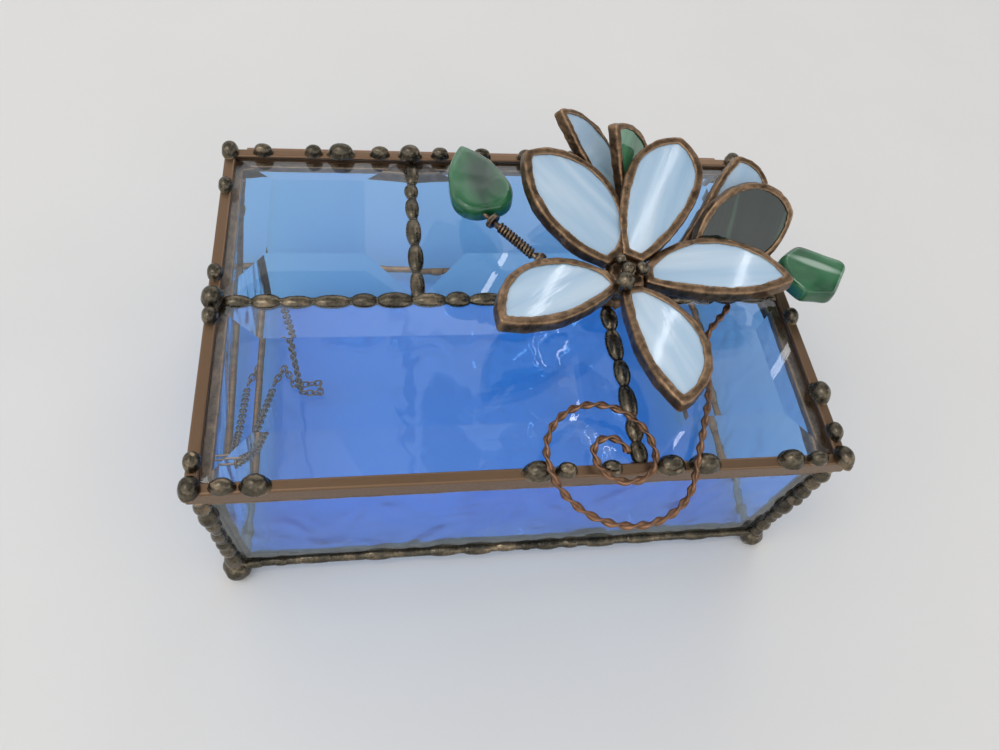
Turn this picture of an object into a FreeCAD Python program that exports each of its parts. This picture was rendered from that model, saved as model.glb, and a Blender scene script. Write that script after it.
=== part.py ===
import FreeCAD, Part
import math
import os
from FreeCAD import Vector

# Stained-glass keepsake box: blue glass box, hinged lid of four bevelled panes, chain stay,
# and a glass lily with buds, leaves and a twisted wire lifting handle on the lid.
# Millimetres. +X right, +Y towards the hinge, +Z up, the table at Z = 0.

# Lid panes: two-inch bevels, in a pinwheel of two rows
square_width = 50.8
long_width = 101.6
front_row_depth = 50.8
back_row_depth = 52.2
bevel_width = 12.7
bevel_edge_thick = 2.1
bevel_thick = 5.0
seam_gap = 1.4

# Lid channel frame
came_height = 4.84
came_leg = 3.0
came_web = 0.8
channel_play = 0.07
came_round = 0.6
pane_play = 0.3

# Glass box
pane_thick = 3.0
wall_height = 46.9
glass_lift = 5.6
side_overhang = 2.0
front_overhang = 1.62
rim_cap = 0.7
rim_lap = 3.0
rim_skin = 0.5
lid_seat_gap = 0.05

# Beaded solder seams: neck radius, bead radius and distance between beads
lid_neck = 1.5
lid_bead = 2.1
lid_bead_pitch = 8.4
corner_neck = 1.6
corner_bead = 2.3
corner_bead_pitch = 6.8
bottom_neck = 1.2
bottom_bead = 1.8
bottom_bead_pitch = 6.4
foot_radius = 3.7
foot_flat = 0.5
foot_out = 0.2

# Hinge: a tube soldered to the lid's back strip, and a rod with bent legs soldered to the box
tube_radius = 1.6
rod_radius = 0.9
rod_clearance = 0.08
tube_inset = 5.6
leg_gap = 0.6
leg_bend = 2.0
leg_length = 16.0
hinge_solder_radius = 1.7
hinge_solder_length = 7.0
hinge_solder_shift = 0.7
hinge_solder_under = 0.6

# Flower: petals round a solder hub that stands on the crossing of the lid's seams
flower_x = 27.5
flower_y = -2.6
flower_lift = 10.0
petal_start = 5.8
petal_base_half = 2.2
petal_thick = 3.0
petal_rim_thick = 4.0
rim_out = 0.9
rim_in = 1.3
rim_fillet = 0.7
hub_radius = 5.4
hub_thick = 4.4
hub_fillet = 1.6
post_radius = 2.2
mound_radius = 4.6
mound_height = 4.0
stamen_wire = 0.6

# Each petal: direction, rise, length from the flower's centre, bulge of its left and right side,
# and how far along it is widest
petals = {
    "a": (128.0, 16.9, 40.9, 7.9, 14.0, 0.5),
    "b": (62.4, 18.2, 42.4, 9.0, 9.2, 0.66),
    "c": (-7.7, 5.9, 42.4, 12.4, 5.0, 0.5),
    "d": (-83.7, 4.8, 40.6, 12.2, 4.2, 0.5),
    "e": (-151.6, 9.4, 40.6, 5.2, 12.0, 0.5),
}

# Solder balls at the centre: place from the flower's centre, height and radius
stamens = ((-1.8, 2.2, 4.2, 1.5), (-0.9, -1.5, 5.2, 1.65), (3.1, -1.1, 4.7, 1.75), (-2.0, -4.9, 4.5, 2.4))

# Buds, each a white and a green pane: foot and tip from the lid's centre and top, the side that
# the pane widens to, the bulge of the near and the far edge, and how far along it is widest
buds = {
    "back": {
        "white": ((30.0, 20.5, 8.0), (13.4, 40.4, 26.0), (0.75, 0.5, -0.4), 1.2, 13.0, 0.5),
        "green": ((33.0, 20.0, 8.6), (27.4, 34.8, 26.4), (0.75, 0.5, -0.3), 1.2, 13.0, 0.5),
    },
    "right": {
        "white": ((48.0, 9.5, 8.0), (63.1, 29.5, 21.0), (0.84, -0.44, -0.3), 1.2, 13.0, 0.72),
        "green": ((49.5, 6.0, 8.4), (76.0, 15.0, 16.0), (0.4, -0.54, -0.74), 12.4, 9.0, 0.54),
    },
}
bud_base_half = 1.6
bud_thick = 2.4
bud_rim_thick = 3.2
bud_rim_out = 0.7
bud_rim_in = 1.0
bud_rim_fillet = 0.5
bud_stem_radius = 0.9

# Cast-glass leaves on wire stems: the left one heart shaped, the right one a blunt rounded slab
# with its corners given from the lid's right edge
leaf_width = 17.0
leaf_thick = 5.6
leaf_round = 1.4
leaf_notch = 0.1
leaf_shoulder = 0.33
left_leaf_length = 28.0
left_leaf_tip = Vector(-12.2, 41.5, 12.0)
left_leaf_turn = 104.0
right_leaf_corners = ((-5.4, 3.8), (1.2, 8.3), (14.3, 1.8), (6.4, -9.2), (-1.9, -8.6), (-5.4, -3.4))
right_leaf_round = 2.4
right_leaf_reach = 13.2
right_leaf_lift = 8.2
right_stem_foot = (-6.7, -1.7)
leaf_stem_radius = 0.7
leaf_grip = 4.0
left_stem_turn = (5.4, 2.7, 10.6)
left_stem_bend = 3.0
leaf_stem_foot = 5.0
coil_wire = 0.7
coil_pitch = 0.98
coil_turns = 12
coil_play = 0.06
coil_bend = 1.0
knot_radius = 2.1
knot_length = 1.4

# Twisted wire handle: a scroll of half turns, then a stem back to the long seam
handle_rope = 2.0
handle_gap = 0.3
scroll_radii = (17.8, 13.0, 7.4, 4.0)
scroll_x = 19.4
handle_reach = 14.5
scroll_sweep = 23.0
handle_bend = 6.0
handle_stem = ((44.3, -36.0), (49.4, -15.6), (57.0, -8.0))
handle_end_x = 60.0

# Solder balls dropped on the lid frame: place along each strip
small_ball = 1.9
big_ball = 2.5
ball_rise = 0.9
end_ball = 2.8
end_ball_rise = 1.5
corner_ball = 2.2
front_balls = (-69.8, 6.4, 17.1, 69.5)
front_big_balls = (-62.9, -0.3, 31.7, 40.3, 62.6)
back_balls = (-67.4, -53.3, -34.2, -16.5, -4.0, 9.5, 24.0, 41.0, 60.0)
back_big_balls = (-45.4, -25.4)
left_balls = (38.0, 7.1, -6.4, -45.6)
left_big_balls = (-0.7,)
right_balls = (-9.0, -44.7, 18.0, 40.0)
right_big_balls = (-33.4,)

# Chain stay, open on the floor: oval links hooked through each other, an eye on the rim of the
# left wall and one under the lid's long seam. Link sizes are between wire centres.
chain_wire = 0.5
link_length = 2.46
link_width = 1.7
chain_play = 0.05
chain_lie = 0.1
eye_wire = 0.5
eye_radius = 1.1
wall_eye_drop = 3.2
wall_eye_out = 4.1
wall_eye_y = -42.0
lid_eye_x = -60.0
lid_eye_drop = 1.75
chain_knee = (-68.9, -24.0, 28.0)
chain_wall_end = (-68.3, -0.2)
chain_floor_route = (
    (-59.8, -1.6), (-54.15, -2.1), (-54.3, 1.65), (-61.8, 0.9), (-65.1, 7.6), (-68.3, 1.0))

# Worked out from the sizes above
came_side = came_web + pane_play
channel_height = bevel_edge_thick + 2 * channel_play
lid_width = square_width + long_width + seam_gap + 2 * came_side
lid_depth = front_row_depth + back_row_depth + seam_gap + 2 * came_side
glass_left = -lid_width / 2 + came_side
glass_front = -lid_depth / 2 + came_side
seam_y = glass_front + front_row_depth + seam_gap / 2
front_seam_x = glass_left + long_width + seam_gap / 2
back_seam_x = glass_left + square_width + seam_gap / 2
box_half_x = lid_width / 2 - side_overhang
box_half_y = lid_depth / 2 - front_overhang
floor_top = glass_lift + pane_thick
wall_top = glass_lift + wall_height
rim_top = wall_top + rim_cap
lid_bottom = rim_top + lid_seat_gap
lid_top = lid_bottom + came_height
pane_bottom = lid_bottom + (came_height - bevel_edge_thick) / 2
pane_edge_top = pane_bottom + bevel_edge_thick
pane_top = pane_bottom + bevel_thick
seam_z = pane_bottom + bevel_edge_thick / 2
came_middle = lid_depth / 2 - came_leg / 2
hinge_y = lid_depth / 2 + tube_radius
hinge_z = lid_bottom + tube_radius
tube_half = lid_width / 2 - tube_inset
leg_x = tube_half + leg_gap + leg_bend
flower = Vector(flower_x, flower_y, lid_top + flower_lift)
handle_z = pane_top + handle_gap + handle_rope / 2
scroll_y = -lid_depth / 2 - handle_reach + handle_rope / 2 + scroll_radii[0]
coil_radius = leaf_stem_radius + coil_play + coil_wire / 2

chain_z = floor_top + (link_width + chain_wire) / 2 + chain_lie
rim_face_x = -box_half_x + pane_thick + rim_skin
wall_eye = Vector(rim_face_x - rim_skin + wall_eye_out, wall_eye_y, rim_top - wall_eye_drop)
lid_eye = Vector(lid_eye_x, seam_y, lid_bottom - lid_eye_drop)
left_reach = max(big_ball - came_leg / 2, foot_out + foot_radius - side_overhang)
crossing = Vector((front_seam_x + flower_x) / 2, seam_y, seam_z)

# The whole object, leaf tip and handle included, stands centred on the origin
place = Vector((left_reach - right_leaf_reach) / 2, handle_reach / 2 - tube_radius, 0)


def box(x0, x1, y0, y1, z0, z1):
    return Part.makeBox(x1 - x0, y1 - y0, z1 - z0, Vector(x0, y0, z0))


def carve(shape, cutters):
    for cutter in cutters:
        shape = shape.cut(cutter)
    return shape


def fuse(shapes):
    joined = shapes[0]
    for other in shapes[1:]:
        joined = joined.fuse(other)
    return joined.removeSplitter()


def rod(start, end, radius):
    run = end - start
    return Part.makeCylinder(radius, run.Length, start, run)


def biggest(shape):
    return max(shape.Solids, key=lambda solid: solid.Volume)


# A solder line: a round rod that swells to a bead and narrows again along its length
def beaded_rod(start, end, neck, bead, pitch):
    run = end - start
    count = max(1, round(run.Length / pitch))
    step = run.Length / count
    edges = [Part.makeLine(Vector(0, 0, 0), Vector(neck, 0, 0))]
    for index in range(count):
        low = Vector(neck, 0, index * step)
        middle = Vector(bead, 0, (index + 0.5) * step)
        high = Vector(neck, 0, (index + 1) * step)
        edges.append(Part.Arc(low, middle, high).toShape())
    edges.append(Part.makeLine(Vector(neck, 0, run.Length), Vector(0, 0, run.Length)))
    edges.append(Part.makeLine(Vector(0, 0, run.Length), Vector(0, 0, 0)))
    shape = Part.Face(Part.Wire(edges)).revolve(Vector(0, 0, 0), Vector(0, 0, 1), 360)
    shape.Placement = FreeCAD.Placement(start, FreeCAD.Rotation(Vector(0, 0, 1), run))
    return shape


def lid_point(x, y, lift):
    return Vector(x, y, lid_top + lift)


def rectangle(x0, x1, y0, y1, z):
    return [Vector(x0, y0, z), Vector(x1, y0, z), Vector(x1, y1, z), Vector(x0, y1, z)]


# A solid with flat faces between successive rectangles
def stacked_solid(rings):
    faces = [Part.Face(Part.makePolygon(rings[0] + rings[0][:1]))]
    for low, high in zip(rings, rings[1:]):
        for index in range(4):
            after = (index + 1) % 4
            side = [low[index], low[after], high[after], high[index], low[index]]
            faces.append(Part.Face(Part.makePolygon(side)))
    faces.append(Part.Face(Part.makePolygon(rings[-1] + rings[-1][:1])))
    solid = Part.makeSolid(Part.makeShell(faces))
    if solid.Volume < 0:
        solid.reverse()
    return solid


# The arc that leaves start along a direction and ends at end
def tangent_arc(start, direction, end):
    chord = end - start
    along = Vector(chord)
    along.normalize()
    side = direction - along * direction.dot(along)
    side.normalize()
    turn = math.acos(max(-1.0, min(1.0, direction.dot(along))))
    middle = (start + end) * 0.5 + side * (chord.Length / 2 * math.tan(turn / 2))
    return Part.Arc(start, middle, end).toShape()


# Straight runs joined by tangent arcs
def rounded_path(points, radius):
    edges = []
    start = points[0]
    for before, corner, after in zip(points, points[1:], points[2:]):
        arrive = (corner - before).normalize()
        leave = (after - corner).normalize()
        cut = radius * math.tan(math.acos(max(-1.0, min(1.0, arrive.dot(leave)))) / 2)
        arc_start = corner - arrive * cut
        arc_end = corner + leave * cut
        edges.append(Part.makeLine(start, arc_start))
        edges.append(tangent_arc(arc_start, arrive, arc_end))
        start = arc_end
    edges.append(Part.makeLine(start, points[-1]))
    return edges


def tube(edges, radius):
    path = Part.Wire(edges)
    first = edges[0]
    start = first.valueAt(first.FirstParameter)
    direction = first.tangentAt(first.FirstParameter)
    profile = Part.Wire(Part.makeCircle(radius, start, direction))
    return path.makePipeShell([profile], True, False)


def save(name, solids):
    solids = [solid.translated(place) for solid in solids]
    shape = solids[0] if len(solids) == 1 else Part.makeCompound(solids)
    shape.exportStep("parts/%s.step" % name)
    print(name, len(solids), "valid" if shape.isValid() else "INVALID", round(shape.Volume, 1))


def glass_box():
    x, y, t = box_half_x, box_half_y, pane_thick
    return {
        "floor_glass": box(-x + t, x - t, -y + t, y - t, glass_lift, floor_top),
        "front_glass": box(-x + t, x - t, -y, -y + t, glass_lift, wall_top),
        "back_glass": box(-x + t, x - t, y - t, y, glass_lift, wall_top),
        "left_glass": box(-x, -x + t, -y, y, glass_lift, wall_top),
        "right_glass": box(x - t, x, -y, y, glass_lift, wall_top),
    }


corners = {"front_left": (-1, -1), "front_right": (1, -1), "back_left": (-1, 1), "back_right": (1, 1)}


def ball_feet(panes):
    feet = []
    for sx, sy in corners.values():
        middle = Vector(sx * (box_half_x + foot_out), sy * (box_half_y + foot_out), foot_radius - foot_flat)
        ball = Part.makeSphere(foot_radius, middle)
        reach = 2 * foot_radius
        below = box(middle.x - reach, middle.x + reach, middle.y - reach, middle.y + reach, -reach, 0)
        feet.append(biggest(carve(ball, [below] + panes)))
    return feet


def corner_seams(cutters):
    seams = {}
    for name, (sx, sy) in corners.items():
        low = Vector(sx * box_half_x, sy * box_half_y, glass_lift)
        high = Vector(sx * box_half_x, sy * box_half_y, rim_top)
        line = beaded_rod(low, high, corner_neck, corner_bead, corner_bead_pitch)
        seams["corner_seam_" + name] = biggest(carve(line, cutters))
    return seams


def bottom_seams(cutters):
    x, y, z = box_half_x, box_half_y, glass_lift
    runs = [((-x, -y), (x, -y)), ((-x, y), (x, y)), ((-x, -y), (-x, y)), ((x, -y), (x, y))]
    seams = []
    for (x0, y0), (x1, y1) in runs:
        line = beaded_rod(Vector(x0, y0, z), Vector(x1, y1, z), bottom_neck, bottom_bead, bottom_bead_pitch)
        seams.append(biggest(carve(line, cutters)))
    return seams


# A ring of rectangular outline, split at its mitres into front, right, back and left strips
def mitred(ring, x, y, wide, low, high):
    outer = rectangle(-x, x, -y, y, low)
    inner = rectangle(-x + wide, x - wide, -y + wide, y - wide, low)
    strips = []
    for index in range(4):
        after = (index + 1) % 4
        outline = [outer[index], outer[after], inner[after], inner[index], outer[index]]
        wedge = Part.Face(Part.makePolygon(outline)).extrude(Vector(0, 0, high - low))
        strips.append(biggest(ring.common(wedge)))
    return strips


def top_rim(cutters):
    x, y = box_half_x + rim_skin, box_half_y + rim_skin
    inset = pane_thick + 2 * rim_skin
    low = wall_top - rim_lap
    ring = box(-x, x, -y, y, low, rim_top).cut(box(-x + inset, x - inset, -y + inset, y - inset, low, rim_top))
    return mitred(biggest(carve(ring, cutters)), x, y, inset, low, rim_top)


# The rod, its bent legs and the solder that holds each leg to a corner
def hinge_rod(cutters):
    foot = hinge_z - leg_length
    points = [Vector(-leg_x, hinge_y, foot), Vector(-leg_x, hinge_y, hinge_z)]
    points += [Vector(leg_x, hinge_y, hinge_z), Vector(leg_x, hinge_y, foot)]
    pin = tube(rounded_path(points, leg_bend), rod_radius)
    for side in (-1, 1):
        middle = Vector(side * leg_x, hinge_y - hinge_solder_shift, foot - hinge_solder_under)
        pin = pin.fuse(Part.makeCylinder(hinge_solder_radius, hinge_solder_length, middle))
    return biggest(carve(pin, cutters))


def hinge_tube():
    start = Vector(-tube_half, hinge_y, hinge_z)
    end = Vector(tube_half, hinge_y, hinge_z)
    fillet = box(-tube_half, tube_half, lid_depth / 2, hinge_y, lid_bottom, hinge_z)
    return fuse([rod(start, end, tube_radius), fillet]).cut(rod(start, end, rod_radius + rod_clearance))


# The frame as one ring with a channel inside, rounded on top
def lid_frame():
    x, y, leg = lid_width / 2, lid_depth / 2, came_leg
    ring = box(-x, x, -y, y, lid_bottom, lid_top)
    ring = ring.cut(box(-x + leg, x - leg, -y + leg, y - leg, lid_bottom, lid_top))
    upper = [edge for edge in ring.Edges if abs(edge.BoundBox.ZMin - lid_top) < 1e-6]
    ring = ring.makeFillet(came_round, upper)
    low = (lid_bottom + lid_top - channel_height) / 2
    in_x, in_y = x - came_web, y - came_web
    groove = box(-in_x, in_x, -in_y, in_y, low, low + channel_height)
    strips = mitred(ring.cut(groove), x, y, leg, lid_bottom, lid_top)
    return dict(zip(("lid_came_front", "lid_came_right", "lid_came_back", "lid_came_left"), strips))


def bevelled_pane(x0, width, y0, depth):
    x1, y1, b = x0 + width, y0 + depth, bevel_width
    low = rectangle(x0, x1, y0, y1, pane_bottom)
    edge = rectangle(x0, x1, y0, y1, pane_edge_top)
    top = rectangle(x0 + b, x1 - b, y0 + b, y1 - b, pane_top)
    return stacked_solid([low, edge, top])


def lid_panes():
    back = glass_front + front_row_depth + seam_gap
    return {
        "lid_bevel_front_long": bevelled_pane(glass_left, long_width, glass_front, front_row_depth),
        "lid_bevel_front_square": bevelled_pane(
            glass_left + long_width + seam_gap, square_width, glass_front, front_row_depth),
        "lid_bevel_back_square": bevelled_pane(glass_left, square_width, back, back_row_depth),
        "lid_bevel_back_long": bevelled_pane(
            glass_left + square_width + seam_gap, long_width, back, back_row_depth),
    }


def lid_seams(cutters):
    end_x = lid_width / 2 - came_leg
    end_y = lid_depth / 2 - came_leg
    sizes = (lid_neck, lid_bead, lid_bead_pitch)
    long_seam = beaded_rod(Vector(-end_x, seam_y, seam_z), Vector(end_x, seam_y, seam_z), *sizes)
    front = beaded_rod(Vector(front_seam_x, -end_y, seam_z), Vector(front_seam_x, seam_y, seam_z), *sizes)
    back = beaded_rod(Vector(back_seam_x, seam_y, seam_z), Vector(back_seam_x, end_y, seam_z), *sizes)
    long_seam = biggest(carve(long_seam, cutters))
    return {
        "lid_seam_long": long_seam,
        "lid_seam_front": biggest(carve(front, cutters + [long_seam])),
        "lid_seam_back": biggest(carve(back, cutters + [long_seam])),
    }


# Half turns that wind inwards from the scroll's right side, each arc tangent to the one before
def scroll_arcs():
    angle = math.radians(scroll_sweep)
    lean = Vector(math.cos(angle), -math.sin(angle), 0)
    middle = Vector(scroll_x, scroll_y, handle_z)
    start = middle + lean * scroll_radii[0]
    side = Vector(-1, 0, 0)
    edges = []
    for index, radius in enumerate(scroll_radii):
        end = middle + side * radius
        crest = middle + Vector(0, side.x * radius, 0)
        edges.append(Part.Arc(start, crest, end).toShape())
        side = -side
        start = end
        if index + 1 < len(scroll_radii):
            middle = end + side * scroll_radii[index + 1]
    return edges


def wire_handle():
    scroll = scroll_arcs()
    stem_start = scroll[0].valueAt(scroll[0].FirstParameter)
    points = [stem_start] + [Vector(x, y, handle_z) for x, y in handle_stem]
    points.append(Vector(handle_end_x, seam_y, handle_z))
    stem = rounded_path(points, handle_bend)
    ordered = Part.sortEdges(scroll + stem)[0]
    return tube(ordered, handle_rope / 2)


def lid_balls(cutters):
    x, y = lid_width / 2 - came_leg / 2, came_middle
    spots = [(sx * x, sy * y, corner_ball) for sx, sy in corners.values()]
    for small, big, to_xy in (
        (front_balls, front_big_balls, lambda s: (s, -y)),
        (back_balls, back_big_balls, lambda s: (s, y)),
        (left_balls, left_big_balls, lambda s: (-x, s)),
        (right_balls, right_big_balls, lambda s: (x, s)),
    ):
        spots += [to_xy(s) + (small_ball,) for s in small]
        spots += [to_xy(s) + (big_ball,) for s in big]
    balls = [Part.makeSphere(radius, lid_point(bx, by, ball_rise)) for bx, by, radius in spots]
    balls.append(Part.makeSphere(end_ball, lid_point(handle_end_x, seam_y, end_ball_rise)))
    return [biggest(carve(ball, cutters)) for ball in balls]


# A petal outline in the XY plane, from a narrow base to a tip on +X. Each side bulges out to its
# widest point with one arc and runs on from there with another.
def almond(start, base_half, tip, left, right, peak):
    widest = start + (tip - start) * peak
    low, high = Vector(start, -base_half, 0), Vector(start, base_half, 0)
    edges = [Part.makeLine(low, high)]
    for corner, bulge in ((high, left), (low, -right)):
        shoulder = Vector(widest, bulge, 0)
        edges.append(tangent_arc(shoulder, Vector(-1, 0, 0), corner))
        edges.append(tangent_arc(shoulder, Vector(1, 0, 0), Vector(tip, 0, 0)))
    return Part.Face(Part.Wire(Part.sortEdges(edges)[0]))


def slab(face, thick):
    return face.translated(Vector(0, 0, -thick / 2)).extrude(Vector(0, 0, thick))


# A pane and the solder channel round its edge, and the full shape of both for cutting neighbours
def rimmed_pane(outline, thick, rim_thick, out, lap, round_edge, placement):
    pane = slab(outline, thick)
    outer = slab(outline.makeOffset2D(out), rim_thick)
    window = slab(outline.makeOffset2D(-lap), rim_thick)
    edges = [e for e in outer.Edges if abs(e.BoundBox.ZLength) < 1e-6]
    outer = outer.makeFillet(round_edge, edges)
    rim = outer.cut(window).cut(pane)
    for shape in (pane, rim, outer):
        shape.Placement = placement
    return pane, rim, outer


def petal_pieces():
    glass, rims, outers = {}, {}, []
    for name, (turn, rise, tip, left, right, peak) in petals.items():
        outline = almond(petal_start, petal_base_half, tip, left, right, peak)
        rotation = FreeCAD.Rotation(Vector(0, 0, 1), turn) * FreeCAD.Rotation(Vector(0, 1, 0), -rise)
        placement = FreeCAD.Placement(flower, rotation)
        pane, rim, outer = rimmed_pane(
            outline, petal_thick, petal_rim_thick, rim_out, rim_in, rim_fillet, placement)
        glass["petal_glass_" + name] = biggest(carve(pane, outers))
        rims["petal_rim_" + name] = biggest(carve(rim, outers))
        outers.append(outer)
    return glass, rims, outers


def flower_support(cutters):
    low = flower.z - hub_thick / 2
    hub = Part.makeCylinder(hub_radius, hub_thick, Vector(flower.x, flower.y, low))
    hub = hub.makeFillet(hub_fillet, [e for e in hub.Edges if e.Closed])
    post = rod(crossing, Vector(flower.x, flower.y, flower.z), post_radius)
    mound = Part.makeCone(mound_radius, post_radius, mound_height, Vector(crossing.x, crossing.y, pane_edge_top))
    return biggest(carve(fuse([hub, post, mound]), cutters))


def stamen_balls(support, cutters):
    kept = []
    for dx, dy, height, radius in stamens:
        middle = flower + Vector(dx, dy, height)
        foot = flower + Vector(dx / 2, dy / 2, 0)
        ball = fuse([Part.makeSphere(radius, middle), rod(foot, middle, stamen_wire)])
        kept.append(biggest(carve(ball, cutters + [support] + kept)))
    return kept


def bud_placement(foot, tip, hint):
    along = (tip - foot).normalize()
    across = hint - along * hint.dot(along)
    across.normalize()
    up = along.cross(across)
    rotation = FreeCAD.Rotation(along, across, up, "XYZ")
    return FreeCAD.Placement(foot, rotation)


def bud_pieces(cutters):
    nodes = {}
    outers = list(cutters)
    for name, panes in buds.items():
        rims = []
        for colour, (foot, tip, hint, near, far, peak) in panes.items():
            start = Vector(*foot) + Vector(0, 0, lid_top)
            end = Vector(*tip) + Vector(0, 0, lid_top)
            outline = almond(0, bud_base_half, (end - start).Length, far, near, peak)
            pane, rim, outer = rimmed_pane(
                outline, bud_thick, bud_rim_thick, bud_rim_out, bud_rim_in, bud_rim_fillet,
                bud_placement(start, end, Vector(*hint)))
            nodes["bud_%s_%s_glass" % (name, colour)] = [biggest(carve(pane, outers))]
            rims.append(biggest(carve(rim, outers)))
            outers.append(outer)
        nodes["bud_%s_rims" % name] = rims
    return nodes, outers[len(cutters):]


def bud_stems(cutters):
    solids = []
    for panes in buds.values():
        foot = Vector(*panes["white"][0])
        other = Vector(*panes["green"][0])
        end = (foot + other) * 0.5 + Vector(0, 0, lid_top)
        start = Vector(flower.x, flower.y, flower.z - hub_thick / 2)
        solids.append(biggest(carve(rod(start, end, bud_stem_radius), cutters + solids)))
    return solids


# Leaf outline along +X: a heart with its notch at the stem and one pointed tip
def leaf_solid(length, width):
    tip = Vector(length, 0, 0)
    notch = Vector(length * leaf_notch, 0, 0)
    edges = []
    for side in (1, -1):
        shoulder = Vector(length * leaf_shoulder, side * width / 2, 0)
        edges.append(tangent_arc(shoulder, Vector(-1, 0, 0), notch))
        edges.append(tangent_arc(shoulder, Vector(1, 0, 0), tip))
    outline = Part.Face(Part.Wire(Part.sortEdges(edges)[0]))
    body = slab(outline, leaf_thick)
    flat = [e for e in body.Edges if abs(e.BoundBox.ZLength) < 1e-6]
    return body.makeFillet(leaf_round, flat)


def leaf_placement(tip, turn, length):
    rotation = FreeCAD.Rotation(Vector(0, 0, 1), turn)
    foot = tip - rotation.multVec(Vector(length, 0, 0))
    return FreeCAD.Placement(foot, rotation)


# The wire that carries the left leaf, through the coil and under the petals to the flower's post
def left_stem_points():
    foot = leaf_placement(left_tip, left_leaf_turn, left_leaf_length).Base
    turn = lid_point(*left_stem_turn)
    away = (turn - foot).normalize()
    post = Vector(crossing.x, crossing.y, lid_top + leaf_stem_foot)
    return [foot - away * leaf_grip, turn, post]


# Two tangent arcs from one point and direction to another
def biarc(start, leave, end, arrive):
    chord = end - start
    both = leave + arrive
    square = 4 - both.dot(both)
    reach = (math.sqrt(chord.dot(both) ** 2 + square * chord.dot(chord)) - chord.dot(both)) / square
    middle = (start + leave * reach + end - arrive * reach) * 0.5
    onward = (end - arrive * reach - middle).normalize()
    return [tangent_arc(start, leave, middle), tangent_arc(middle, onward, end)]


# One wire wound along +Z from the origin, its ends turned to run along the stem
def coil_path():
    slope = coil_pitch / (2 * math.pi)
    length = math.hypot(coil_radius, slope)
    places, headings = [], []
    for quarter in range(4 * coil_turns + 1):
        angle = quarter * math.pi / 2
        places.append(Vector(coil_radius * math.cos(angle), coil_radius * math.sin(angle), slope * angle))
        headings.append(Vector(
            -coil_radius * math.sin(angle), coil_radius * math.cos(angle), slope) * (1 / length))
    axis = Vector(0, 0, 1)
    cut = coil_bend * math.tan(math.acos(slope / length) / 2)
    start = places[0] - headings[0] * cut - axis * cut
    end = places[-1] + headings[-1] * cut + axis * cut
    edges = [Part.makeLine(start - axis * coil_wire, start), tangent_arc(start, axis, places[0])]
    for index in range(4 * coil_turns):
        edges += biarc(places[index], headings[index], places[index + 1], headings[index + 1])
    edges.append(tangent_arc(places[-1], headings[-1], end))
    edges.append(Part.makeLine(end, end + axis * coil_wire))
    return edges, start.z - coil_wire, end.z + coil_wire


def least_gap(edges, wire, turn):
    points = [point for edge in edges for point in edge.discretize(9)[:-1]]
    travel = [0.0]
    for before, after in zip(points, points[1:]):
        travel.append(travel[-1] + (after - before).Length)
    least = min(
        (points[i] - points[j]).Length
        for i in range(len(points))
        for j in range(i)
        if travel[i] - travel[j] > turn / 2)
    return least - wire


def left_leaf_pieces(cutters):
    points = left_stem_points()
    run = points[1] - points[0]
    edges, low, high = coil_path()
    along = (points[1] - points[0]).normalize()
    middle = points[0] + along * (leaf_grip + (run.Length - leaf_grip) / 2)
    base = middle - along * ((low + high) / 2)
    turned = FreeCAD.Placement(base, FreeCAD.Rotation(Vector(0, 0, 1), along))
    coil = tube(edges, coil_wire / 2)
    coil.Placement = turned
    gap = least_gap(edges, coil_wire, 2 * math.pi * coil_radius)
    print("coil turns", coil_turns, "least gap to itself", round(gap, 3))
    stem = tube(rounded_path(points, left_stem_bend), leaf_stem_radius)
    knots = [
        rod(base + along * (low - knot_length), base + along * low, knot_radius),
        rod(base + along * high, base + along * (high + knot_length), knot_radius),
    ]
    stem = fuse([stem] + knots)
    leaf = leaf_solid(left_leaf_length, leaf_width)
    leaf.Placement = leaf_placement(left_tip, left_leaf_turn, left_leaf_length)
    return {
        "left_leaf": biggest(leaf.cut(stem)),
        "left_leaf_stem": biggest(carve(stem, cutters)),
        "left_leaf_coil": coil,
    }


def right_leaf_solid():
    corners = [lid_point(lid_width / 2 + x, y, right_leaf_lift) for x, y in right_leaf_corners]
    middle = (corners[-1] + corners[0]) * 0.5
    outline = Part.Face(Part.Wire(rounded_path([middle] + corners + [middle], right_leaf_round)))
    body = slab(outline, leaf_thick)
    flat = [e for e in body.Edges if abs(e.BoundBox.ZLength) < 1e-6]
    body = body.makeFillet(leaf_round, flat)
    return body.translated(Vector(lid_width / 2 + right_leaf_reach - body.BoundBox.XMax, 0, 0))


def right_leaf_pieces(cutters):
    leaf = right_leaf_solid()
    x, y = right_stem_foot
    foot = lid_point(lid_width / 2 + x, y, right_leaf_lift)
    post = Vector(crossing.x, crossing.y, lid_top + leaf_stem_foot)
    points = [post, foot, foot + Vector(leaf_grip, 0, 0)]
    stem = tube(rounded_path(points, left_stem_bend), leaf_stem_radius)
    return biggest(leaf.cut(stem)), biggest(carve(stem, cutters))


def chain_link():
    radius = link_width / 2
    half = link_length / 2 - radius
    low, high = Vector(half, -radius, 0), Vector(half, radius, 0)
    edges = [
        Part.makeLine(Vector(0, -radius, 0), low),
        Part.Arc(low, Vector(half + radius, 0, 0), high).toShape(),
        Part.makeLine(high, -low),
        Part.Arc(-low, Vector(-half - radius, 0, 0), -high).toShape(),
        Part.makeLine(-high, Vector(0, -radius, 0)),
    ]
    return tube(edges, chain_wire / 2)


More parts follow.
